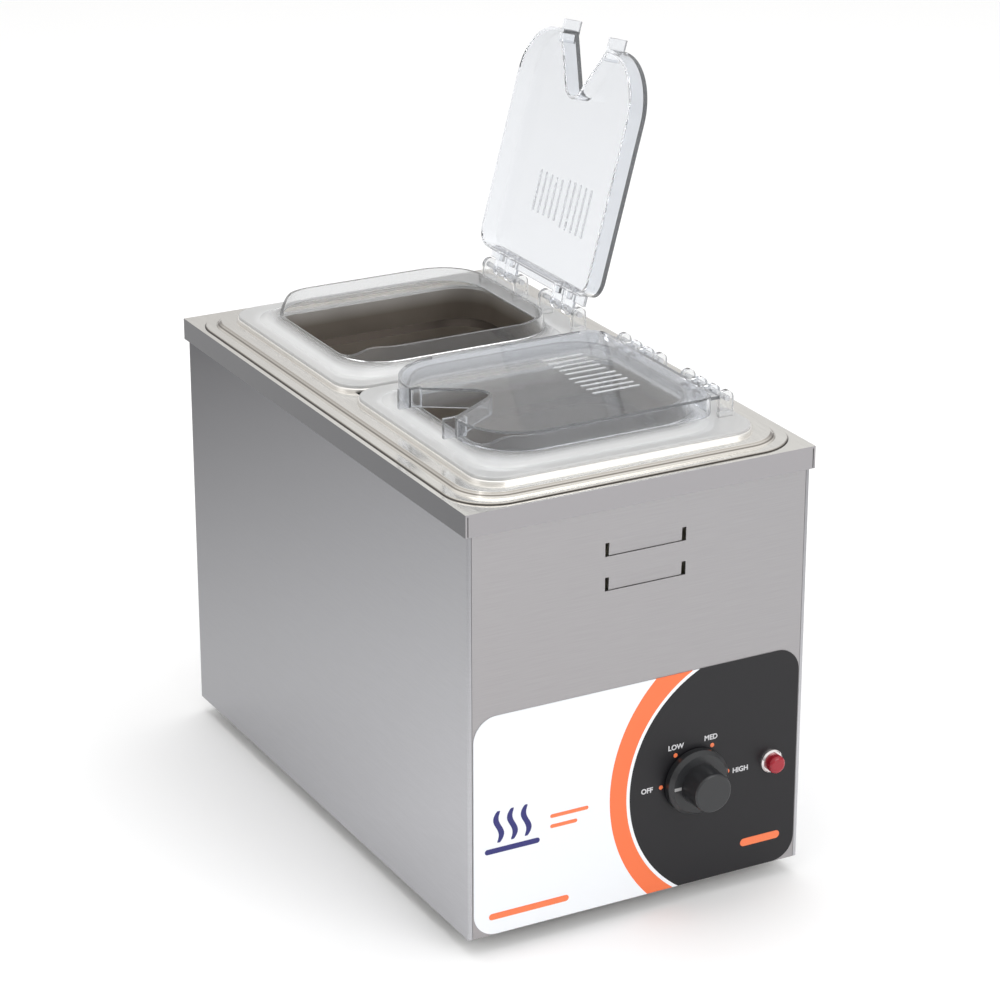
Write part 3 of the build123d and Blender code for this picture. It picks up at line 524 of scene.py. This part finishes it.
for mark, angle in (("off", 180), ("low", 125.5), ("med", 59), ("high", 0)):
    turn = math.radians(angle)
    pill("dot_" + mark, dial_x + dot_orbit * math.cos(turn), dial_z + dot_orbit * math.sin(turn),
         dot_radius, dot_radius, ink_orange)
for text, x, z in (("OFF", 0.0053, 0.0648), ("LOW", 0.0235, 0.0876), ("MED", 0.0462, 0.0886),
                   ("HIGH", 0.0662, 0.0643)):
    word("word_" + text.lower(), text, x, z)
pill("orange_bar", x=0.0806, z=0.0173, half_length=0.0131, half_height=0.0024, material=ink_orange)

# Three steam waves over a pan line, in navy ink, and three plain orange bars are printed on the
# label's white field. A wave sways to both sides and narrows at its ends.
wave_steps = 24
wave_first_x = -0.088
wave_pitch = 0.0085
wave_z = 0.0655
wave_height = 0.019
wave_sway = 0.0017
wave_width = 0.0036
wave_end_share = 0.45


def wave(name, x, z):
    """An upright steam wave centred on a point of the label."""
    left = []
    right = []
    for step in range(wave_steps + 1):
        t = step / wave_steps
        middle = x + wave_sway * math.sin(2 * math.pi * t)
        half = wave_width / 2 * (wave_end_share + (1 - wave_end_share) * math.sin(math.pi * t) ** 0.5)
        left.append((middle - half, z + (t - 0.5) * wave_height))
        right.append((middle + half, z + (t - 0.5) * wave_height))
    count = wave_steps + 1
    lift = 2 * count
    verts = [(px, face_y, pz) for face_y in (label_face, label_face - ink_lift) for px, pz in left + right]
    faces = []
    for k in range(wave_steps):
        a, b, c, d = k, k + 1, count + k + 1, count + k
        faces += [(a, b, c, d), (a + lift, d + lift, c + lift, b + lift), (a, a + lift, b + lift, b),
                  (d, c, c + lift, d + lift)]
    last = wave_steps
    faces += [(0, count, count + lift, lift), (last, last + lift, last + count + lift, last + count)]
    mesh = bpy.data.meshes.new(name)
    mesh.from_pydata(verts, [], faces)
    printed(name, mesh, ink_navy)


for index in range(3):
    wave("steam_wave_" + str(index + 1), wave_first_x + wave_pitch * index, wave_z)
pill("pan_bar", x=-0.0795, z=0.0515, half_length=0.0170, half_height=0.0016, material=ink_navy)
side_bar_left_x = -0.0560
side_bar_top_z = 0.0640
side_bar_pitch = 0.0062
for index, half in enumerate((0.0120, 0.0085)):
    pill("side_bar_" + str(index + 1), x=side_bar_left_x + half, z=side_bar_top_z - side_bar_pitch * index,
         half_length=half, half_height=0.0011, material=ink_orange)
pill("foot_bar", x=-0.0690, z=0.0113, half_length=0.0250, half_height=0.0019, material=ink_orange)

# The lids: a white-frosted clear base that covers the pan's rim and carries hinge ears, and a
# clear flap with a spoon notch. Both are moulded polycarbonate about 2 mm thick.
lid_wall = 0.002
lid_milk = 0.55
lid_clearest = 0.96
milk_ends = 0.0015
clear_starts = 0.0045
ripple_scale = 90
ripple_gloss_spread = 0.3
ripple_bump_strength = 0.15
ripple_depth = 0.0004
shadow_let_through = 0.85


def clear_plastic(name, color, roughness, milk, bending=1.45):
    """Clear moulded plastic that lets lamps through; milk is the share that it scatters."""
    material, tree, shader = plain_material(name)
    place = add_node(tree, "ShaderNodeTexCoord").outputs["Object"]
    ripple = noise(tree, place, ripple_scale)
    smoothest = roughness * (1 - ripple_gloss_spread)
    roughest = roughness * (1 + ripple_gloss_spread)
    wire(tree, remap(tree, ripple, 0.0, 1.0, smoothest, roughest), shader.inputs["Roughness"])
    give_bump(tree, shader, ripple, ripple_bump_strength, ripple_depth)
    shader.inputs["Base Color"].default_value = (*color, 1)
    shader.inputs["IOR"].default_value = bending
    shader.inputs["Transmission Weight"].default_value = 1.0 - milk
    passed = add_node(tree, "ShaderNodeMath", operation="MULTIPLY_ADD")
    passed.inputs[1].default_value = -shadow_let_through
    passed.inputs[2].default_value = 1.0
    wire(tree, add_node(tree, "ShaderNodeLightPath").outputs["Is Shadow Ray"], passed.inputs[0])
    wire(tree, passed.outputs[0], shader.inputs["Alpha"])
    return material


def frost_below(material, frost_z, clear_z):
    """Milky below one height and clear above another, as a matt mould face leaves it."""
    tree = material.node_tree
    place = parts_of(tree, add_node(tree, "ShaderNodeTexCoord").outputs["Object"])
    clearness = remap(tree, place["Z"], frost_z, clear_z, 1.0 - lid_milk, lid_clearest)
    wire(tree, clearness, tree.nodes["Principled BSDF"].inputs["Transmission Weight"])


flange_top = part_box("pan_front")[1][2] + lid_wall
lid_frost = clear_plastic("lid_frosted", color=(0.79, 0.795, 0.80), roughness=0.10, milk=lid_milk)
frost_below(lid_frost, frost_z=flange_top + milk_ends, clear_z=flange_top + clear_starts)
flap_clear = clear_plastic("flap_clear", color=(0.82, 0.835, 0.86), roughness=0.05, milk=0.05, bending=1.30)
pin_clear = clear_plastic("pin_clear", color=(0.80, 0.81, 0.83), roughness=0.12, milk=0.35)
for place_name in ("front", "rear"):
    finish("lid_base_" + place_name, lid_frost)
    finish("lid_flap_" + place_name, flap_clear)
    finish("hinge_pins_" + place_name, pin_clear)

# Moulded grip ribs, frosted on top, stand a hair proud of each flap in two short rows.
# The flap's upper face is 6 mm over its hinge axis; the rear flap is stored open.
rib_frost = clear_plastic("rib_frost", color=(0.94, 0.95, 0.96), roughness=0.25, milk=0.28)
rib_lift = 0.0003
rib_sink = 0.0001
rib_width = 0.0018
rib_pitch = 0.0065
rib_count = 5
rib_rows = (("near", -0.030, 0.030), ("far", 0.004, 0.026))
rib_end_steps = 6
rib_x = -0.055
flap_face = 0.006
flap_open = {"front": 0.0, "rear": math.radians(105)}


def rib(name, place_name, y, length):
    """One low rib with rounded ends, drawn on the closed flap and swung with it to its rest pose."""
    pan_low, pan_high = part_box("pan_" + place_name)
    pins_low, pins_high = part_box("hinge_pins_" + place_name)
    pan_middle = (pan_low + pan_high) / 2
    pins_middle = (pins_low + pins_high) / 2
    hinge = Matrix.Translation((pins_middle.x, pan_middle.y, pins_middle.z))
    swing = hinge @ Matrix.Rotation(flap_open[place_name], 4, "Y")
    outline = round_ended(rib_x, y, length, rib_width, rib_end_steps)
    points = [swing @ Vector((px, py, pz))
              for pz in (flap_face - rib_sink, flap_face + rib_lift) for px, py in outline]
    count = len(outline)
    faces = [list(range(count))[::-1], list(range(count, 2 * count))]
    faces += [(k, (k + 1) % count, (k + 1) % count + count, k + count) for k in range(count)]
    mesh = bpy.data.meshes.new(name)
    mesh.from_pydata(points, [], faces)
    mesh.materials.append(rib_frost)
    piece = bpy.data.objects.new(name, mesh)
    scene.collection.objects.link(piece)
    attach(piece, "flap_" + place_name + "_body")


for place_name in ("front", "rear"):
    for index in range(rib_count):
        for row, first_y, length in rib_rows:
            name = "rib_" + place_name + "_" + row + "_" + str(index)
            rib(name, place_name, first_y + rib_pitch * index, length)
